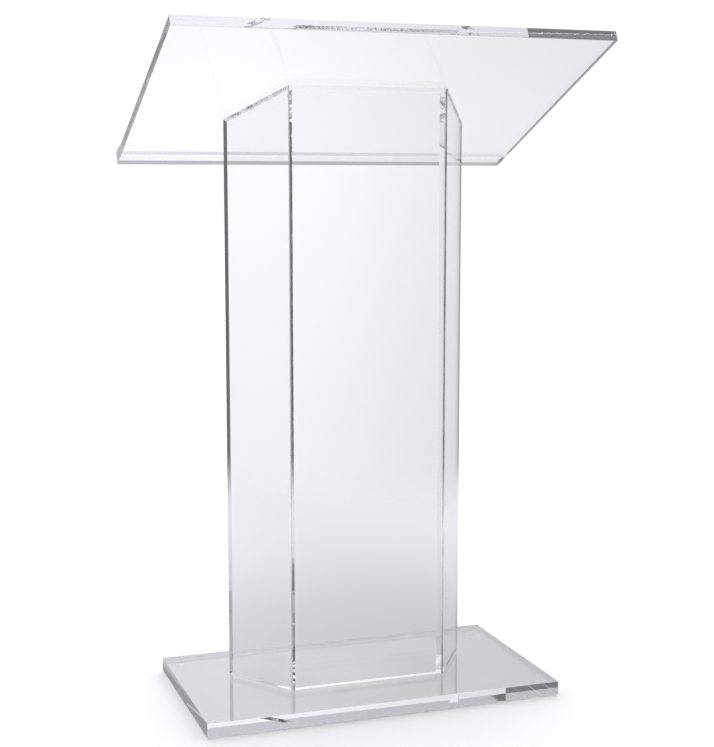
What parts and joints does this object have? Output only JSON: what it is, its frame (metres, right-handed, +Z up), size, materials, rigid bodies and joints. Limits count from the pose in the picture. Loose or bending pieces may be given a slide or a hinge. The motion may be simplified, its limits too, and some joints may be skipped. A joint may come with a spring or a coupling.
{
  "type": "presentation lectern",
  "caption": "Free-standing clear acrylic lectern: a flat base on low feet, a splayed open-backed column, and a sloped reading top with a stop ledge along its low edge.",
  "frame": {"origin": "on the floor, under the middle of the lectern's overall box; the feet stand on z = 0", "axes": "+Z up; +Y towards the speaker, who reads from the low edge of the top; -Y towards the audience; +X to the right as the audience sees it"},
  "size_m": [0.776, 0.4974, 1.1938],
  "materials": {
    "clear_acrylic": "clear cast acrylic sheet with polished edges",
    "clear_vinyl": "clear soft bumper, smooth"
  },
  "bodies": {
    "root": {"base_plate": "clear_acrylic", "front_panel": "clear_acrylic", "left_wing": "clear_acrylic", "right_wing": "clear_acrylic", "reading_top": "clear_acrylic", "ledge": "clear_acrylic", "foot_front_left": "clear_vinyl", "foot_front_right": "clear_vinyl", "foot_back_left": "clear_vinyl", "foot_back_right": "clear_vinyl"}
  },
  "joints": []
}
